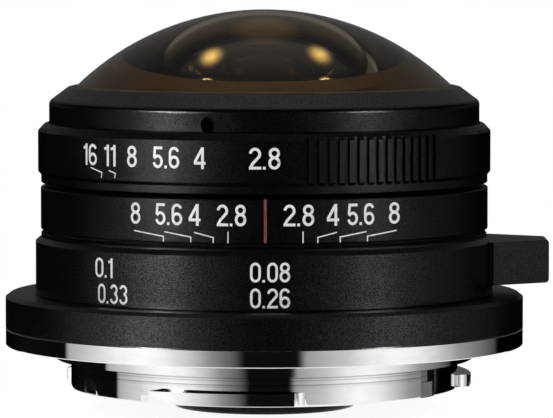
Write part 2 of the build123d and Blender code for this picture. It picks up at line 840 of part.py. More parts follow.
def iris_screws():
    """Three screws that hold the iris housing to the barrel's web."""
    screws = []
    low = iris_z + iris_plate_t + seat_gap
    for angle in iris_screw_angles:
        head = post(iris_head_r, iris_screw_circle, low, low + iris_head_h, angle)
        screws.append(head + post(iris_screw_r, iris_screw_circle, iris_z - web_t, low, angle))
    return Compound(children=screws)


def iris_cam_ring():
    """The ring whose seven curved slots swing the blades, with the lug that drives it."""
    plan = Circle(iris_bore - run_gap) - Circle(pivot_r - cam_rim)
    path = ThreePointArc(cam_pin_at(0), cam_pin_at(0.5), cam_pin_at(1))
    slot = SlotArc(path, 2 * (pivot_pin_r + pin_gap))
    for i in range(blade_count):
        plan -= Rot(0, 0, blade_angle(i)) * slot
    body = Pos(0, 0, cam_low) * extrude(plan, cam_t)
    body += block(iris_bore - 0.4, arm_outer, arm_w, cam_low, cam_top, drive_angle)
    return body - post(arm_screw_r + seat_gap, arm_screw_x, cam_low - 1, cam_top + 1, drive_angle)


def blade_outline():
    """A blade's plan with its pivot on +X: a crescent about the axis and an ear for both pins."""
    start, end = blade_span
    middle = (start + end) / 2
    inner = [rotated(stop_open_r, 0, a) for a in (start, middle, end)]
    outer = [rotated(blade_outer_r, 0, a) for a in (start, middle, end)]
    crescent = make_face([ThreePointArc(*inner), Line(inner[2], outer[2]),
                          ThreePointArc(outer[2], outer[1], outer[0]), Line(outer[0], inner[0])])
    pivot, cam = Vector(pivot_r, 0), Vector(*cam_pin_start())
    ear = SlotCenterToCenter((cam - pivot).length, 2 * ear_r)
    place = (pivot + cam) / 2
    turn = degrees(atan2(cam.Y - pivot.Y, cam.X - pivot.X))
    neck = Pos(pivot_r - neck_l / 2, 0.1) * Rectangle(neck_l, neck_w)
    return crescent + neck + Pos(place.X, place.Y) * Rot(0, 0, turn) * ear


def iris_blade(index):
    """One blade in its own layer, with its pivot pin below and its cam pin above."""
    low = blade_low + index * blade_pitch
    cam_x, cam_y = cam_pin_start()
    leaf = Pos(0, 0, low) * extrude(blade_outline(), blade_t)
    pivot = post(pivot_pin_r, pivot_r, iris_z + 0.1, low + blade_t / 2)
    cam = Pos(0, cam_y, 0) * post(pivot_pin_r, cam_x, low + blade_t / 2, cam_top - 0.05)
    return Rot(0, 0, blade_angle(index)) * (leaf + pivot + cam)


# Aperture drive

def aperture_arm():
    """The upright that ties the cam ring's lug to the drive screw."""
    body = block(arm_inner, arm_outer, arm_w, arm_low, drive_z + arm_margin, drive_angle)
    body -= post(arm_screw_r + seat_gap, arm_screw_x, arm_low - 1, arm_low + arm_screw_l + 0.1, drive_angle)
    return body - radial_pin(drive_r + seat_gap, arm_inner + 0.3, arm_outer + 1, drive_z, drive_angle)


def arm_screw():
    """The screw up through the cam ring's lug into the arm."""
    low = cam_low - seat_gap - arm_head_h
    head = post(arm_head_r, arm_screw_x, low, low + arm_head_h, drive_angle)
    return head + post(arm_screw_r, arm_screw_x, low, arm_low + arm_screw_l, drive_angle)


def aperture_drive_screw():
    """The shouldered screw from the aperture ring to the arm, sunk in a plain land at the back."""
    outer = body_r - drive_head_sunk
    head = radial_pin(drive_head_r, outer - drive_head_l, outer, drive_z, drive_angle)
    head -= radial_pin(drive_socket_r, outer - drive_socket_l, outer + 1, drive_z, drive_angle)
    return head + radial_pin(drive_r, arm_inner + 0.35, outer - drive_head_l + 0.1, drive_z, drive_angle)


def aperture_ring():
    """The ring with the f-numbers: lip and chamfers, five grips of cut grooves, and a stepped bore."""
    inner, collar_bore = head_r + run_gap, collar_r + run_gap
    front_bore = front_ring_r + aperture_front_gap
    lip_top = aperture_low + aperture_lip_h
    step = aperture_top - aperture_step
    body = ring((collar_bore, aperture_low), (aperture_lip_r - edge_break, aperture_low),
                (aperture_lip_r, aperture_low + edge_break), (aperture_lip_r, lip_top),
                (body_r, lip_top + aperture_flare), (body_r, aperture_top - aperture_chamfer_h),
                (front_bore + aperture_land, aperture_top), (front_bore, aperture_top), (front_bore, step),
                (inner, step), (inner, aperture_low + aperture_collar_h),
                (collar_bore, aperture_low + aperture_collar_h))
    rim = [e for e in body.edges().filter_by(GeomType.CIRCLE)
           if abs(e.radius - front_bore - aperture_land) < 0.01 and e.center().Z > aperture_top - 0.01]
    body = fillet(rim, aperture_round)
    grooves = []
    for grip in range(grip_count):
        for i in range(groove_count):
            angle = grip_first + grip * grip_spacing + (i - (groove_count - 1) / 2) * groove_pitch
            grooves.append(block(body_r - groove_depth, body_r + 1, groove_w, lip_top, aperture_top, angle))
    body -= grooves
    body -= radial_pin(drive_r + seat_gap, 0, body_r, drive_z, drive_angle)
    head_seat = body_r - drive_head_sunk - drive_head_l - seat_gap
    return body - radial_pin(drive_head_r + seat_gap, head_seat, body_r + 1, drive_z, drive_angle)


# Rear cell

def rear_cell():
    """The tube that carries the last three elements and stands out behind the mount."""
    bore, upper, floor_r = rear_glass_r + cell_gap, fifth_r + cell_gap, fifth_r - 0.6
    web_low = iris_z - web_t
    flange_low = web_low - rear_flange_t
    flange = rear_cell_r + rear_flange_w
    floor = fifth_seat - fifth_floor_t
    body = ring((floor_r, floor), (bore, floor), (bore, rear_cell_low + rear_mouth),
                (bore + rear_mouth, rear_cell_low), (rear_cell_r, rear_cell_low), (rear_cell_r, flange_low),
                (flange, flange_low), (flange, web_low), (rear_cell_r, web_low), (rear_cell_r, iris_z),
                (upper, iris_z), (upper, fifth_seat), (floor_r, fifth_seat))
    corner = [e for e in body.edges().filter_by(GeomType.CIRCLE)
              if abs(e.radius - rear_cell_r) < 0.01 and abs(e.center().Z - rear_cell_low) < 0.01]
    return fillet(corner, rear_round)


def fifth_element():
    clear = fifth_r - fifth_edge
    return element(fifth_r, (fifth_seat + fifth_rim, fifth_curve, clear),
                   (fifth_seat + seat_gap, -fifth_curve, clear))


def fifth_retainer():
    """The threaded ring over the fifth element."""
    low = fifth_seat + fifth_rim + seat_gap
    outer = fifth_r + cell_gap - seat_gap
    return tube(outer - small_retainer_w, outer, low, low + small_retainer_h)


def rear_spacer():
    """The spacer between the rear doublet and the cell's floor."""
    return tube(rear_glass_r - rear_spacer_w, rear_glass_r, sixth_rim + seat_gap,
                fifth_seat - fifth_floor_t - seat_gap)


def sixth_element():
    """The front half of the cemented rear doublet."""
    return element(rear_glass_r, (sixth_rim, sixth_front_curve, rear_glass_r - sixth_edge),
                   (cement_rim + seat_gap, cement_curve, rear_glass_r - rear_edge))


def rear_element():
    """The rear half of the cemented doublet."""
    clear = rear_glass_r - rear_edge
    return element(rear_glass_r, (cement_rim, cement_curve, clear), (rear_seat, rear_back_curve, clear))


def rear_retainer():
    """The threaded ring under the rear doublet."""
    outer = rear_glass_r + cell_gap - seat_gap
    return tube(outer - small_retainer_w, outer, rear_cell_low + rear_mouth + 0.05, rear_seat - seat_gap)


os.makedirs("parts", exist_ok=True)
pieces = [
    bayonet_mount, mount_screws, mount_baffle, base_ring, index_dot, fixed_barrel, depth_scale_ring,
    depth_ring_screw, guide_keys, helicoid_retainer, focus_ring, focus_lever, lever_screws,
    focus_helicoid, focus_drive_keys, focus_washer, lens_barrel, front_seal, front_ring,
    front_ring_screw, front_element, front_cell, second_element, second_retainer, third_element,
    cell_retainer, element_spacer, fourth_element, iris_housing, iris_cover, iris_screws,
    iris_cam_ring, aperture_arm, arm_screw, aperture_drive_screw, aperture_ring, rear_cell,
    fifth_element, fifth_retainer, rear_spacer, sixth_element, rear_element, rear_retainer,
]
for piece in pieces:
    export_step(piece(), f"parts/{piece.__name__}.step")
for blade in range(blade_count):
    export_step(iris_blade(blade), f"parts/iris_blade_{blade + 1}.step")
print(f"blades turn {blade_turn:.2f} degrees, ratio {blade_ratio:.5f}")
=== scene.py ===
from math import cos, pi, radians, sin

import bpy
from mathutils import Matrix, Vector


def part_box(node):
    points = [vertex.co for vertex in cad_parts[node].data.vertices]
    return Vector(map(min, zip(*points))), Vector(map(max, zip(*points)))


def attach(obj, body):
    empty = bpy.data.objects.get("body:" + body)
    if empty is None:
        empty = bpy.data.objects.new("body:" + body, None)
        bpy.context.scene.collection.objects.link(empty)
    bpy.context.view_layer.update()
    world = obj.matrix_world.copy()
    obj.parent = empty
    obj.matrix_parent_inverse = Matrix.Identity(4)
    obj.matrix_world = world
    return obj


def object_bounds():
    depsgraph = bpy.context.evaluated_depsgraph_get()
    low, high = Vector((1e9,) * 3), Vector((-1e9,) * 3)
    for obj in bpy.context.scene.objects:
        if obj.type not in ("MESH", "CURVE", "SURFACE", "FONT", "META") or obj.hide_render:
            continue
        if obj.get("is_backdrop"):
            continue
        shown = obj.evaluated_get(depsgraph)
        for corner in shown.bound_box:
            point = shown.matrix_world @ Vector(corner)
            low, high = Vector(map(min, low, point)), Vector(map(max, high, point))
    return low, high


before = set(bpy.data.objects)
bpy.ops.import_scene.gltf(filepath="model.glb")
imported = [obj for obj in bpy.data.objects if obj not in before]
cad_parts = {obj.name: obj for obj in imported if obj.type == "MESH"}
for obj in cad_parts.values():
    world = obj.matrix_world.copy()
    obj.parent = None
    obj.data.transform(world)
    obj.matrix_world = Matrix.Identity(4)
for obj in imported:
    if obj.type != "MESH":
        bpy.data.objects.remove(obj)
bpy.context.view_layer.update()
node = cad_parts

MM = 0.001

# Radii of the rings that carry markings, from the frame
APERTURE_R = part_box("aperture_ring")[1][1]
SCALE_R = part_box("depth_scale_ring")[1][1]
FOCUS_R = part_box("focus_ring")[1][1]

# Black anodising: the size of a blasted facet, of the relief's grains and of a patch of wear, and its
# colours between facets
FACET = 0.11 * MM
GRAIN = 0.10 * MM
GRAIN_DEPTH = 0.010 * MM
PATCH = 1.2 * MM
BLACK = ((0.0005, 0.0005, 0.0006), (0.0018, 0.0018, 0.0020))
# Paler black for above the front ring's bevel: painted light, as the bevel faces up and catches more light
BEVEL_PAINTED_LIGHT_BLACK = ((0.011, 0.011, 0.011), (0.022, 0.022, 0.022))
FACET_SHADES = (0.35, 0.72)    # the noise at which a facet is darkest and palest
GLINT_SHADES = (0.36, 0.64)    # and at which it is dullest and brightest
DULL_FACET = 0.3               # of the ring's sheen
BRIGHT_FACET = 1.75

# Heights of the front ring's bevel, above which the black is painted paler as painted light, and of the
# broken edges whose sheen is cut as painted shade
FRONT_BEVEL = 24.3 * MM
FRONT_EDGE = 24.25 * MM
FOCUS_EDGE = 11.2 * MM
# Near a broken edge the sheen is cut to a share of the ring's own: painted shade hiding the highlight line
# the lamp hearts leave on the rounded edge
EDGE_W = 0.2 * MM         # either side of the edge
EDGE_SHADE_SHEEN = 0.1          # of the ring's own

# Chrome: the turning marks, handling marks, and the dark streaks kept between two heights of the tube
CHROME = ((0.86, 0.86, 0.85), (0.93, 0.93, 0.91))
TURNING = 0.09 * MM
TURNING_DEPTH = 0.0005 * MM
HANDLING = 2.4 * MM
STREAK = 0.25 * MM
STREAK_SHADE = 0.45       # of the clean metal
STREAKS_LOW = -2.6 * MM
STREAKS_HIGH = -1.45 * MM

# Other metals, mouldings and enamel
TOOL_MARK = 0.25 * MM
TOOL_DEPTH = 0.001 * MM
MOULD_DEPTH = 0.004 * MM
ENAMEL_GRAIN = 0.15 * MM

# Glass, and how far its blackened edge reaches in
GLASS_IOR = 1.62
GROUND_EDGE = 0.06 * MM
GROUND_BLACK = (0.003, 0.003, 0.003)
INNER_TINT = (0.80, 0.60, 0.34)
INNER_COATING = (0.05, 0.0225, 0.0175)

# The front element: its coatings outside and in the hollow, the hollow's sphere, and the paint on its seat,
# whose brown is partly a painted glow standing in for the amber light at the dome's foot
FRONT_TINT = (0.84, 0.70, 0.50)
FRONT_COATING = (0.10, 0.06, 0.02)
HOLLOW_COATING = (1.5, 1.06, 0.27)
HOLLOW_Z = 17.81 * MM
HOLLOW_R = 12.99 * MM
HOLLOW_SKIN = 0.05 * MM   # past its radius, where the glass still counts as the hollow's surface
SEAT_PAINT_AND_GLOW = (0.080, 0.056, 0.030)
SEAT_PAINT_AND_GLOW_H = 1.2 * MM

# Plastic ribs
RIB_PITCH = 0.5 * MM
RIB_DEPTH = 0.05 * MM

# Markings
PAINT = 0.012 * MM        # how far the filled engraving stands out
NUMERAL_H = 2.07 * MM
DISTANCE_H = 1.9 * MM
LINE_W = 0.11 * MM
INDEX_W = 0.28 * MM
LINE_STEP = 0.5 * MM      # between the corners along a line

# Heights of the figures' feet, and of the leads under them in millimetres
F_NUMBER_FOOT = 18.66 * MM
DEPTH_FOOT = 13.22 * MM
LEAD_FOOT = 11.66
INDEX_TOP = 15.66


# Building materials

class Surface:
    """A material under construction, with short calls for the nodes it needs."""

    def __init__(self, name):
        self.material = bpy.data.materials.new(name)
        self.material.use_nodes = True
        self.tree = self.material.node_tree
        self.shader = self.tree.nodes["Principled BSDF"]
        self.place = self.add("ShaderNodeTexCoord").outputs["Object"]

    def add(self, kind, **settings):
        made = self.tree.nodes.new(kind)
        for name, value in settings.items():
            setattr(made, name, value)
        return made

    def link(self, source, target):
        self.tree.links.new(source, target)

    def set(self, **values):
        for name, value in values.items():
            self.shader.inputs[name.replace("_", " ")].default_value = value

    def drive(self, name, source):
        """Lets a value or colour made by nodes drive one of the shader's inputs."""
        self.link(source, self.shader.inputs[name])

    def noise(self, grain, detail=2.0, stretch=None):
        """Noise whose grains are about this many metres across."""
        made = self.add("ShaderNodeTexNoise")
        made.inputs["Scale"].default_value = 1 / grain
        made.inputs["Detail"].default_value = detail
        place = self.place
        if stretch:
            mapping = self.add("ShaderNodeMapping")
            mapping.inputs["Scale"].default_value = stretch
            self.link(place, mapping.inputs["Vector"])
            place = mapping.outputs["Vector"]
        self.link(place, made.inputs["Vector"])
        return made.outputs["Fac"]

    def ramp(self, value, *stops):
        """Colours or greys at places along a value."""
        made = self.add("ShaderNodeValToRGB")
        band = made.color_ramp
        while len(band.elements) < len(stops):
            band.elements.new(0.5)
        for element, (position, colour) in zip(band.elements, stops):
            element.position = position
            element.color = (*colour, 1) if isinstance(colour, tuple) else (colour, colour, colour, 1)
        self.link(value, made.inputs["Fac"])
        return made.outputs["Color"]

    def pick(self, mask, off, on):
        """One colour where a mask is 0 and another where it is 1."""
        return self.ramp(mask, (0.4, off), (0.6, on))

    def mottle(self, value, colour, share):
        """Drives the colour, which darkens to a share of itself where a value is low."""
        self.drive("Base Color", self.ramp(value, (0.3, tuple(share * c for c in colour)), (0.7, colour)))

    def blend(self, kind, factor, first, second):
        made = self.add("ShaderNodeMix", data_type="RGBA", blend_type=kind)
        for slot, source in (("Factor", factor), ("A", first), ("B", second)):
            self.link(source, made.inputs[slot])
        return made.outputs["Result"]

    def remap(self, value, low, high, to_low=0.0, to_high=1.0, soft=False):
        """Carries a value from one range to another, held at its ends, which can be soft."""
        made = self.add("ShaderNodeMapRange", interpolation_type="SMOOTHSTEP" if soft else "LINEAR")
        for slot, end in (("From Min", low), ("From Max", high), ("To Min", to_low), ("To Max", to_high)):
            made.inputs[slot].default_value = end
        self.link(value, made.inputs["Value"])
        return made.outputs[0]

    def roughen(self, value, middle, swing):
        """Roughness that swings about a middle with a value between 0 and 1."""
        swung = self.math("ADD", self.math("MULTIPLY", value, swing), middle - swing / 2)
        self.drive("Roughness", swung)

    def relief(self, height, depth):
        made = self.add("ShaderNodeBump")
        made.inputs["Strength"].default_value = 1.0
        made.inputs["Distance"].default_value = depth
        self.link(height, made.inputs["Height"])
        self.drive("Normal", made.outputs["Normal"])

    def math(self, operation, first, second=None):
        made = self.add("ShaderNodeMath", operation=operation)
        for slot, value in zip(made.inputs, (first, second)):
            if isinstance(value, (int, float)):
                slot.default_value = value
            elif value is not None:
                self.link(value, slot)
        return made.outputs["Value"]

    def split(self):
        """The X, Y and Z of the place on the object."""
        made = self.add("ShaderNodeSeparateXYZ")
        self.link(self.place, made.inputs["Vector"])
        return made.outputs

    def height(self):
        return self.split()[2]

    def radius(self):
        """The distance from the optical axis."""
        x, y, _ = self.split()
        squares = self.math("ADD", self.math("MULTIPLY", x, x), self.math("MULTIPLY", y, y))
        return self.math("SQRT", squares)

    def glow(self, level):
        """Turns the surface into a light of a fixed or driven level."""
        self.tree.nodes.remove(self.shader)
        made = self.add("ShaderNodeEmission")
        self.link(level, made.inputs["Strength"])
        self.show(made.outputs[0])

    def show(self, shader):
        self.link(shader, self.tree.nodes["Material Output"].inputs["Surface"])


def blasted_anodising(name, roughness=0.29, sheen=0.14, bevel=None, edge=None):
    """Black anodised metal, blasted to a fine grain in which some facets catch more light than others.

    Above the height of a bevel, where one is given, the metal is painted a shade paler: painted light on the
    bevel, which faces up. At a broken edge the sheen is cut: painted shade over the highlight line the lamps
    leave there."""
    s = Surface(name)
    s.set(Metallic=0.0, IOR=1.5)
    facets = s.noise(FACET, 1.0)
    colour = s.ramp(facets, *zip(FACET_SHADES, BLACK))
    # Above the bevel the black is painted paler: painted light on the upward-facing bevel
    if bevel:
        above = s.math("GREATER_THAN", s.height(), bevel)
        colour = s.blend("MIX", above, colour, s.ramp(facets, *zip(FACET_SHADES, BEVEL_PAINTED_LIGHT_BLACK)))
    s.drive("Base Color", colour)
    glint = s.remap(facets, *GLINT_SHADES, DULL_FACET * sheen, BRIGHT_FACET * sheen)
    # Near a broken edge the sheen is cut: painted shade over the highlight line the lamps leave there
    if edge:
        away = s.math("ABSOLUTE", s.math("SUBTRACT", s.height(), edge))
        share = s.math("MAXIMUM", s.math("GREATER_THAN", away, EDGE_W), EDGE_SHADE_SHEEN)
        glint = s.math("MULTIPLY", glint, share)
    s.drive("Specular IOR Level", glint)
    s.roughen(s.noise(PATCH), roughness, 0.02)
    s.relief(s.noise(GRAIN, 3.0), GRAIN_DEPTH)
    return s.material


def turned_chrome(name):
    """Satin chrome with the fine circular marks of turning, a few streaks and a few handling marks."""
    s = Surface(name)
    s.set(Metallic=1.0)
    height = s.height()
    rings = s.add("ShaderNodeCombineXYZ")
    s.link(s.radius(), rings.inputs["X"])
    s.link(height, rings.inputs["Z"])
    marks = s.add("ShaderNodeTexNoise")
    marks.inputs["Scale"].default_value = 1 / TURNING
    marks.inputs["Detail"].default_value = 2.0
    s.link(rings.outputs["Vector"], marks.inputs["Vector"])
    handling = s.noise(HANDLING, 3.0, stretch=(1, 1, 3))
    metal = s.ramp(handling, *zip((0.3, 0.7), CHROME))
    streaks = s.ramp(s.noise(STREAK, 2.0, stretch=(0, 0, 1)), (0.38, STREAK_SHADE), (0.52, 1.0))
    above = s.math("GREATER_THAN", height, STREAKS_LOW)
    streaked = s.math("MULTIPLY", above, s.math("LESS_THAN", height, STREAKS_HIGH))
    s.drive("Base Color", s.blend("MULTIPLY", streaked, metal, streaks))
    s.roughen(handling, 0.05, 0.02)
    s.relief(marks.outputs["Fac"], TURNING_DEPTH)
    return s.material


def plain_metal(name, colour, roughness):
    """Machined metal with a fine tool finish."""
    s = Surface(name)
    s.set(Metallic=1.0)
    fine = s.noise(TOOL_MARK, 3.0)
    s.mottle(fine, colour, 0.8)
    s.roughen(fine, roughness, 0.08)
    s.relief(fine, TOOL_DEPTH)
    return s.material


def inner_glass(piece):
    """Lens glass, with the colour of its coating in what it reflects, and blackened ground edges."""
    s = Surface(piece + " glass")
    s.set(Roughness=0.0, IOR=GLASS_IOR, Specular_Tint=(*INNER_COATING, 1))
    clear = s.math("LESS_THAN", s.radius(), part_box(piece)[1][1] - GROUND_EDGE)
    s.drive("Transmission Weight", clear)
    s.drive("Base Color", s.pick(clear, GROUND_BLACK, INNER_TINT))
    return s.material


def front_glass():
    """The front element's glass, with brown-black paint on its edge, its seat and the rim of its hollow; the
    paint's brown is partly a painted glow at the dome's foot.
    """
    low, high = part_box("front_element")
    s = Surface("front glass")
    s.set(Roughness=0.0, IOR=GLASS_IOR)
    from_hollow = s.add("ShaderNodeVectorMath", operation="DISTANCE")
    from_hollow.inputs[1].default_value = (0, 0, HOLLOW_Z)
    s.link(s.place, from_hollow.inputs[0])
    outside = s.math("GREATER_THAN", from_hollow.outputs["Value"], HOLLOW_R + HOLLOW_SKIN)
    s.drive("Specular Tint", s.pick(outside, HOLLOW_COATING, FRONT_COATING))
    edge = s.math("GREATER_THAN", s.radius(), high[1] - GROUND_EDGE)
    seat = s.math("LESS_THAN", s.height(), low[2] + SEAT_PAINT_AND_GLOW_H)
    painted = s.math("MAXIMUM", edge, seat)
    clear = s.math("SUBTRACT", 1.0, painted)
    s.drive("Transmission Weight", clear)
    s.drive("Specular IOR Level", clear)
    # Brown-black paint on the edge and seat: blackened glass, pale enough to be partly a painted glow at the
    # dome's foot
    s.drive("Base Color", s.pick(painted, FRONT_TINT, SEAT_PAINT_AND_GLOW))
    return s.material


def dull_black(name, colour, roughness, grain, shine=0.5):
    """Moulded or soft black material with a faint mottle."""
    s = Surface(name)
    s.set(Specular_IOR_Level=shine)
    fine = s.noise(grain, 3.0)
    s.mottle(fine, colour, 0.7)
    s.roughen(fine, roughness, 0.1)
    s.relief(fine, MOULD_DEPTH)
    return s.material


def ribbed_black(name):
    """Black plastic with the fine circular ribs that stop stray light."""
    s = Surface(name)
    s.set(Base_Color=(0.006, 0.006, 0.006, 1), Roughness=0.6, Specular_IOR_Level=0.3)
    s.relief(s.math("SINE", s.math("MULTIPLY", s.radius(), 2 * pi / RIB_PITCH)), RIB_DEPTH)
    return s.material


def marking_paint(name, colour):
    """Enamel rubbed into the engraving, slightly uneven."""
    s = Surface(name)
    s.set(Roughness=0.55, Specular_IOR_Level=0.3)
    s.mottle(s.noise(ENAMEL_GRAIN), colour, 0.8)
    return s.material


def paint_nodes(material, *names):
    """Gives CAD pieces their material."""
    for name in names:
        for slot in node[name].material_slots:
            slot.material = material


white_paint = marking_paint("white marking paint", (0.80, 0.80, 0.78))
red_paint = marking_paint("red marking paint", (0.18, 0.034, 0.032))

paint_nodes(turned_chrome("mount chrome"), "bayonet_mount")
paint_nodes(plain_metal("steel", (0.50, 0.50, 0.49), 0.28), "mount_screws", "lever_screws", "iris_screws",
            "arm_screw", "guide_keys", "focus_drive_keys")
paint_nodes(plain_metal("brass", (0.78, 0.56, 0.25), 0.30), "focus_helicoid")
paint_nodes(ribbed_black("ribbed black plastic"), "mount_baffle")
paint_nodes(dull_black("black nylon", (0.002, 0.002, 0.002), 0.6, 0.3 * MM, shine=0.03), "focus_washer")
paint_nodes(dull_black("rubber", (0.015, 0.015, 0.015), 0.7, 0.2 * MM), "front_seal")
paint_nodes(red_paint, "index_dot")
paint_nodes(blasted_anodising("anodised black"), "depth_scale_ring", "focus_lever", "aperture_ring",
            "rear_cell", "depth_ring_screw", "front_ring_screw", "aperture_drive_screw")
# The front ring's bevel is painted paler (painted light) and the sheen at both rings' broken edges is cut
# (painted shade)
paint_nodes(blasted_anodising("front ring black", bevel=FRONT_BEVEL, edge=FRONT_EDGE), "front_ring")
paint_nodes(blasted_anodising("focus ring black", sheen=0.20, edge=FOCUS_EDGE), "focus_ring")
paint_nodes(blasted_anodising("base ring black", sheen=0.26), "base_ring")
paint_nodes(blasted_anodising("inner anodised black", roughness=0.5, sheen=0.06), "fixed_barrel",
            "helicoid_retainer", "lens_barrel", "front_cell", "second_retainer", "cell_retainer",
            "element_spacer", "iris_housing", "iris_cover", "fifth_retainer", "rear_spacer",
            "rear_retainer", "iris_cam_ring", "aperture_arm")
paint_nodes(plain_metal("blackened blade steel", (0.05, 0.05, 0.055), 0.42),
            *[f"iris_blade_{i}" for i in range(1, 8)])
paint_nodes(front_glass(), "front_element")
for element in ("second_element", "third_element", "fourth_element", "fifth_element", "sixth_element",
                "rear_element"):
    paint_nodes(inner_glass(element), element)


# Markings

def deselect():
    bpy.ops.object.select_all(action="DESELECT")


def finish_mesh(piece, body, material):
    """Paints a marking and lets it ride on a body."""
    piece.data.materials.clear()
    piece.data.materials.append(material)
    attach(piece, body)
    return piece


def wrap(piece, radius, angle, height):
    """Lays a flat marking, drawn about its own origin in X and Y, on a ring.

    The angle runs from the index line, positive to the right as the lens faces the viewer."""
    for vertex in piece.data.vertices:
        x, y, lift = vertex.co
        turn = radians(angle) + x / radius
        out = radius + lift
        vertex.co = Vector((out * sin(turn), -out * cos(turn), height + y))


# Engraved figures are drawn with a round-ended cutter: each is a few strokes in a box one unit high.

FIGURE_W = 0.56           # of a figure, and of the narrow 1
ONE_W = 0.34
POINT_W = 0.16
FIGURE_GAP = 0.085
STROKE = 0.128


def bow(middle, size, start, end, steps=18):
    """Points along an arc of an ellipse, in degrees counted anticlockwise from the right."""
    turns = [radians(start + (end - start) * i / steps) for i in range(steps + 1)]
    return [(middle[0] + size[0] * cos(turn), middle[1] + size[1] * sin(turn)) for turn in turns]


def figure_strokes(figure):
    """The centre lines of a figure's strokes, and its width."""
    half = STROKE / 2
    left, right, low, high = half, FIGURE_W - half, half, 1 - half
    centre, wide = FIGURE_W / 2, FIGURE_W / 2 - half
    if figure == "0":
        ring = bow((centre, high - 0.25), (wide, 0.25), 0, 180)
        ring += bow((centre, low + 0.25), (wide, 0.25), 180, 360)
        return [ring + ring[:2]], FIGURE_W
    if figure == "1":
        stem = ONE_W - STROKE
        return [[(stem, 0), (stem, 1)], [(stem, 0.93), (stem - 0.06, 0.84), (0, 0.80)]], ONE_W - 0.05
    if figure == "2":
        top = bow((centre, high - 0.235), (wide, 0.235), 172, -28)
        return [top + [(left + 0.10, 0.26), (left, low)], [(0, low), (FIGURE_W, low)]], FIGURE_W
    if figure == "3":
        top = bow((centre, high - 0.205), (wide * 0.92, 0.205), 165, -80)
        bottom = bow((centre, low + 0.235), (wide, 0.235), 80, -168)
        return [top, bottom], FIGURE_W
    if figure == "4":
        stem = 0.73 * FIGURE_W
        slope = [(stem, 0.98), (left * 0.6, 0.31)]
        return [[(stem, 0), (stem, 1)], slope, [(0, 0.27), (FIGURE_W, 0.27)]], FIGURE_W
    if figure == "5":
        bowl = bow((centre, low + 0.25), (wide, 0.25), 150, -168)
        return [[(FIGURE_W - 0.03, high), (left + 0.06, high), (left + 0.02, 0.5)], bowl], FIGURE_W
    if figure == "6":
        bowl = bow((centre, low + 0.235), (wide, 0.235), 0, 360)
        back = bow((centre, high - 0.235), (wide, 0.235), 20, 180) + [(left, low + 0.235)]
        return [bowl + bowl[1:2], back], FIGURE_W
    if figure == "8":
        top = bow((centre, high - 0.195), (wide * 0.9, 0.195), 0, 360)
        bottom = bow((centre, low + 0.235), (wide, 0.235), 0, 360)
        return [top + top[1:2], bottom + bottom[1:2]], FIGURE_W
    return [[(half, 0), (half, STROKE)]], POINT_W


def ribbon(points, width, corners, faces):
    """Adds a flat stroke along points to a mesh's corners and faces."""
    first = len(corners)
    for i, point in enumerate(points):
        before = Vector(points[max(i - 1, 0)])
        after = Vector(points[min(i + 1, len(points) - 1)])
        here = Vector(point)
        ways = [w.normalized() for w in (here - before, after - here) if w.length > 1e-9]
        along = sum(ways, Vector((0, 0))).normalized()
        across = Vector((-along.y, along.x))
        spread = width / 2 / max(0.5, abs(ways[0].x * along.x + ways[0].y * along.y))
        corners += [tuple(here - across * spread), tuple(here + across * spread)]
        if i:
            n = first + 2 * i
            faces.append((n - 2, n, n + 1, n - 1))


def flat_mesh(name, corners, faces):
    """A flat marking, lifted to the height at which its paint stands out."""
    mesh = bpy.data.meshes.new(name)
    mesh.from_pydata([(x, y, PAINT) for x, y in corners], [], faces)
    piece = bpy.data.objects.new(name, mesh)
    bpy.context.collection.objects.link(piece)
    return piece


def numeral(name, text, body, radius, left, right, low, tall):
    """Engraved figures between two angles on a ring."""
    corners, faces, at = [], [], 0.0
    for figure in text:
        strokes, width = figure_strokes(figure)
        for stroke in strokes:
            ribbon([(at + x, y) for x, y in stroke], STROKE, corners, faces)
        at += width + FIGURE_GAP
    xs = [x for x, _ in corners]
    scale = radians(right - left) * radius / (max(xs) - min(xs))
    middle = (max(xs) + min(xs)) / 2
    piece = flat_mesh(name, [((x - middle) * scale, y * tall) for x, y in corners], faces)
    wrap(piece, radius, (left + right) / 2, low)
    return finish_mesh(piece, body, white_paint)


def line(name, body, radius, points, width=LINE_W, material=white_paint):
    """A drawn line through points of (angle, height in millimetres) on a ring."""
    route = [Vector((radians(a) * radius, h * MM)) for a, h in points]
    corners, faces = [], []
    for start, end in zip(route, route[1:]):
        reach = (end - start).normalized() * width / 2
        steps = max(1, int((end - start).length / LINE_STEP))
        places = [tuple((start - reach).lerp(end + reach, i / steps)) for i in range(steps + 1)]
        ribbon(places, width, corners, faces)
    piece = flat_mesh(name, corners, faces)
    wrap(piece, radius, 0, 0)
    return finish_mesh(piece, body, material)


def f_numbers():
    """The aperture scale, with leads from the two crowded figures to their places."""
    for text, left, right in (("2.8", -3.7, 3.9), ("4", -17.3, -14.3), ("5.6", -28.1, -21.0),
                              ("8", -35.6, -32.7), ("11", -43.1, -39.2), ("16", -50.7, -45.6)):
        numeral("f_number_" + text, text, "aperture", APERTURE_R, left, right, F_NUMBER_FOOT, NUMERAL_H)
    line("f_lead_11", "aperture", APERTURE_R, [(-41.3, 18.23), (-39.3, 18.0), (-39.5, 17.57)])
    line("f_lead_16", "aperture", APERTURE_R, [(-47.8, 18.43), (-43.8, 18.01), (-44.0, 17.54)])


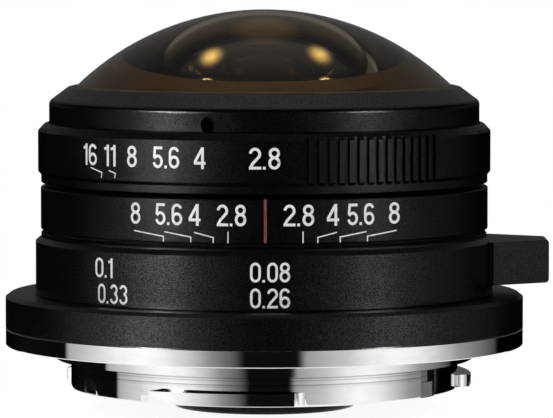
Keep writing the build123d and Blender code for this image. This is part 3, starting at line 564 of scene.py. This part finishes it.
def depth_scale():
    """The index line and the depth of field figures, mirrored about it, with their leads."""
    for side, places in (("left", (("8", -35.0, -32.1), ("5.6", -27.8, -20.5), ("4", -18.9, -15.8),
                                   ("2.8", -11.7, -4.4))),
                         ("right", (("2.8", 4.7, 12.3), ("4", 15.4, 18.6), ("5.6", 20.8, 28.1),
                                    ("8", 32.3, 35.6)))):
        for text, left, right in places:
            numeral(f"depth_{text}_{side}", text, "root", SCALE_R, left, right, DEPTH_FOOT, NUMERAL_H)
    for side, sign, shift in (("left", -1, 0.0), ("right", 1, 0.6)):
        upright = sign * 8.9 + shift
        line("depth_lead_2.8_" + side, "root", SCALE_R, [(upright, 12.66), (upright, LEAD_FOOT)])
        for text, outer, inner in (("4", 17.3, 12.6), ("5.6", 25.2, 18.3), ("8", 33.9, 25.6)):
            figure, mark = sign * outer + shift, sign * inner + shift
            line(f"depth_lead_{text}_{side}", "root", SCALE_R,
                 [(figure, 12.57), (mark, 12.13), (mark, LEAD_FOOT)])
    line("index_line", "root", SCALE_R, [(0.25, LEAD_FOOT + 0.1), (0.25, INDEX_TOP)], INDEX_W, red_paint)


def distance_scale():
    """Distances in metres above feet."""
    for text, left, right, low in (("0.1", -45.5, -39.7, 7.90), ("0.33", -44.6, -35.1, 5.40),
                                   ("0.08", -3.4, 6.2, 7.91), ("0.26", -3.4, 6.2, 5.44)):
        numeral("distance_" + text, text, "focus", FOCUS_R, left, right, low * MM, DISTANCE_H)


f_numbers()
depth_scale()
distance_scale()


# Floor and light, in metres

WORLD_LEVEL = 0.75        # of the plain light from all round
FLOOR_R = 30 * MM
FLOOR_GAP = 0.02 * MM     # under the lens, so that the two don't share a face
FLOOR_GLOW = 1.10
FLOOR_GLOW_SHARE = 0.85
LAMP_DISTANCE = 0.6
LAMP_SIZE = 0.25
TENT_R = 0.9
HEART_DISTANCE = 0.85     # just inside the tent

# Brightness of the tent's walls at angles from the front, positive to the viewer's right, as a share of
# the brightest
PANEL_LEVEL = 1.10
PANELS = ((-160, 0.0), (-130, 0.004), (-97, 0.002), (-95, 0.40), (-78, 0.65), (-66, 0.9), (-54, 1.0),
          (-44, 0.88), (-33, 0.58), (-23, 0.25), (-13.5, 0.10), (-9, 0.004), (15, 0.004), (18, 0.32),
          (36, 0.57), (46, 0.82), (57, 0.95), (69, 0.87), (81, 0.60), (94, 0.30), (110, 0.16), (122, 0.05),
          (124, 0.0))

# Where the walls fade in above and below, as heights on a tent of radius 1
WALL_TOP = (0.035, -0.01)
WALL_FOOT = (-0.22, -0.17)

# The roof is a soft round patch, in degrees from its middle; the back glows from its foot upwards
ROOF_LEVEL = 0.45
ROOF_ELEVATION = 78
ROOF_EDGE, ROOF_CORE = 30, 5
BACK_LEVEL = 0.12
BACK_DEPTH = (0.0, 0.5)
BACK_FOOT = (0.02, 0.14)

# Fitted to the photograph's view
CAMERA_PLACE = (0, -0.4474, 0.0432)
CAMERA_DIP = 3.811        # degrees
CAMERA_TURN = -0.1563
CAMERA_LENS = 291.6


def open_world():
    """White behind the lens, in what it mirrors and through its glass, and a plain level for the rest."""
    world = bpy.data.worlds.new("studio")
    bpy.context.scene.world = world
    world.use_nodes = True
    tree = world.node_tree
    shine = tree.nodes["Background"]
    rays = tree.nodes.new("ShaderNodeLightPath").outputs
    seen = rays["Is Camera Ray"]
    for ray in ("Is Glossy Ray", "Is Transmission Ray"):
        either = tree.nodes.new("ShaderNodeMath")
        either.operation = "MAXIMUM"
        tree.links.new(seen, either.inputs[0])
        tree.links.new(rays[ray], either.inputs[1])
        seen = either.outputs[0]
    level = tree.nodes.new("ShaderNodeMapRange")
    level.inputs["To Min"].default_value = WORLD_LEVEL
    tree.links.new(seen, level.inputs["Value"])
    tree.links.new(level.outputs[0], shine.inputs["Strength"])
    shine.inputs["Color"].default_value = (1, 1, 1, 1)


def place_at(azimuth, elevation, distance):
    """A place at an angle from the front, positive to the viewer's right, and above the floor."""
    a, e = radians(azimuth), radians(elevation)
    return distance * Vector((sin(a) * cos(e), -cos(a) * cos(e), sin(e)))


def facing_lens(place):
    return place.to_track_quat("Z", "Y").to_euler()


def only_mirrored(piece):
    """Lets only metal and glass see a piece of the studio."""
    piece.visible_camera = False
    piece.visible_diffuse = False
    piece.visible_shadow = False
    piece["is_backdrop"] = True


def tent_cloth():
    """The tent's brightness: soft panels at both sides with dark gaps between, a dim roof and a dim back."""
    s = Surface("tent cloth")
    toward = s.add("ShaderNodeVectorMath", operation="NORMALIZE")
    s.link(s.place, toward.inputs[0])
    s.place = toward.outputs["Vector"]
    x, y, z = s.split()
    azimuth = s.math("ARCTAN2", x, s.math("MULTIPLY", y, -1.0))
    share = s.math("ADD", s.math("MULTIPLY", azimuth, 1 / (2 * pi)), 0.5)
    panels = s.ramp(share, *[((angle + 180) / 360, level) for angle, level in PANELS])
    top = s.remap(z, *WALL_TOP, to_high=PANEL_LEVEL, soft=True)
    walls = s.math("MULTIPLY", s.math("MULTIPLY", panels, top), s.remap(z, *WALL_FOOT, soft=True))
    overhead = s.add("ShaderNodeVectorMath", operation="DOT_PRODUCT")
    overhead.inputs[1].default_value = place_at(180, ROOF_ELEVATION, 1)
    s.link(s.place, overhead.inputs[0])
    roof = s.remap(overhead.outputs["Value"], cos(radians(ROOF_EDGE)), cos(radians(ROOF_CORE)),
                   to_high=ROOF_LEVEL, soft=True)
    back = s.math("MULTIPLY", s.remap(y, *BACK_DEPTH, to_high=BACK_LEVEL, soft=True),
                  s.remap(z, *BACK_FOOT, soft=True))
    s.glow(s.math("ADD", s.math("ADD", walls, roof), back))
    return s.material


def light_tent():
    """A tent of panels round the lens and the camera, which only mirrors and glass show."""
    deselect()
    bpy.ops.mesh.primitive_uv_sphere_add(segments=64, ring_count=32, radius=TENT_R, location=(0, 0, 0))
    tent = bpy.context.object
    tent.name = "light_tent"
    tent.data.materials.append(tent_cloth())
    only_mirrored(tent)


def lamp(name, azimuth, elevation, power):
    """A round lamp that lights the paint and the floor."""
    place = place_at(azimuth, elevation, LAMP_DISTANCE)
    deselect()
    bpy.ops.object.light_add(type="AREA", location=place)
    light = bpy.context.object
    light.name = name
    light.data.shape = "DISK"
    light.data.size = LAMP_SIZE
    light.data.energy = power
    light.rotation_euler = facing_lens(place)
    light.visible_glossy = False


def lamp_heart(name, azimuth, elevation, spread, level):
    """The hot heart of a lamp, which shows in metal and glass as a soft round highlight.

    The spread is the angle in degrees from its middle to its edge, as the lens sees it."""
    place = place_at(azimuth, elevation, HEART_DISTANCE)
    reach = HEART_DISTANCE * radians(spread)
    deselect()
    bpy.ops.mesh.primitive_circle_add(vertices=48, radius=reach, fill_type="NGON", location=place,
                                      rotation=facing_lens(place))
    heart = bpy.context.object
    heart.name = name
    s = Surface(name)
    fall = s.remap(s.radius(), reach, 0.0, to_high=level ** 0.5, soft=True)
    s.glow(s.math("MULTIPLY", fall, fall))
    heart.data.materials.append(s.material)
    only_mirrored(heart)


def floor():
    """A small white stand, bright enough to melt into the backdrop but for the lens's soft shadow."""
    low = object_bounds()[0][2]
    deselect()
    bpy.ops.mesh.primitive_circle_add(vertices=128, radius=FLOOR_R, fill_type="NGON",
                                      location=(0, 0, low - FLOOR_GAP))
    stand = bpy.context.object
    stand.name = "floor"
    s = Surface("white floor")
    s.set(Base_Color=(0.9, 0.9, 0.9, 1), Roughness=0.9)
    glow = s.add("ShaderNodeEmission")
    glow.inputs["Strength"].default_value = FLOOR_GLOW
    both = s.add("ShaderNodeMixShader")
    both.inputs["Fac"].default_value = FLOOR_GLOW_SHARE
    s.link(s.shader.outputs[0], both.inputs[1])
    s.link(glow.outputs[0], both.inputs[2])
    s.show(both.outputs[0])
    stand.data.materials.append(s.material)
    stand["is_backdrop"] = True


def camera():
    """The photograph's viewpoint."""
    deselect()
    bpy.ops.object.camera_add(location=CAMERA_PLACE,
                              rotation=(radians(90 - CAMERA_DIP), 0, radians(CAMERA_TURN)))
    view = bpy.context.object
    view.data.lens = CAMERA_LENS
    view.data.sensor_width = 36
    view.data.clip_start = 0.01
    bpy.context.scene.camera = view


open_world()
light_tent()
lamp("left lamp", -45, 10, 0.5)
lamp("right lamp", 45, 10, 0.4)
lamp_heart("left_heart", -52, 14, 10.2, 320)
lamp_heart("right_heart", 55, 14, 10.2, 150)
lamp_heart("left_upper_heart", -69, 41, 17, 13)
lamp_heart("right_upper_heart", 74, 41, 17, 11)
floor()
camera()
bpy.context.scene.view_settings.view_transform = "Standard"
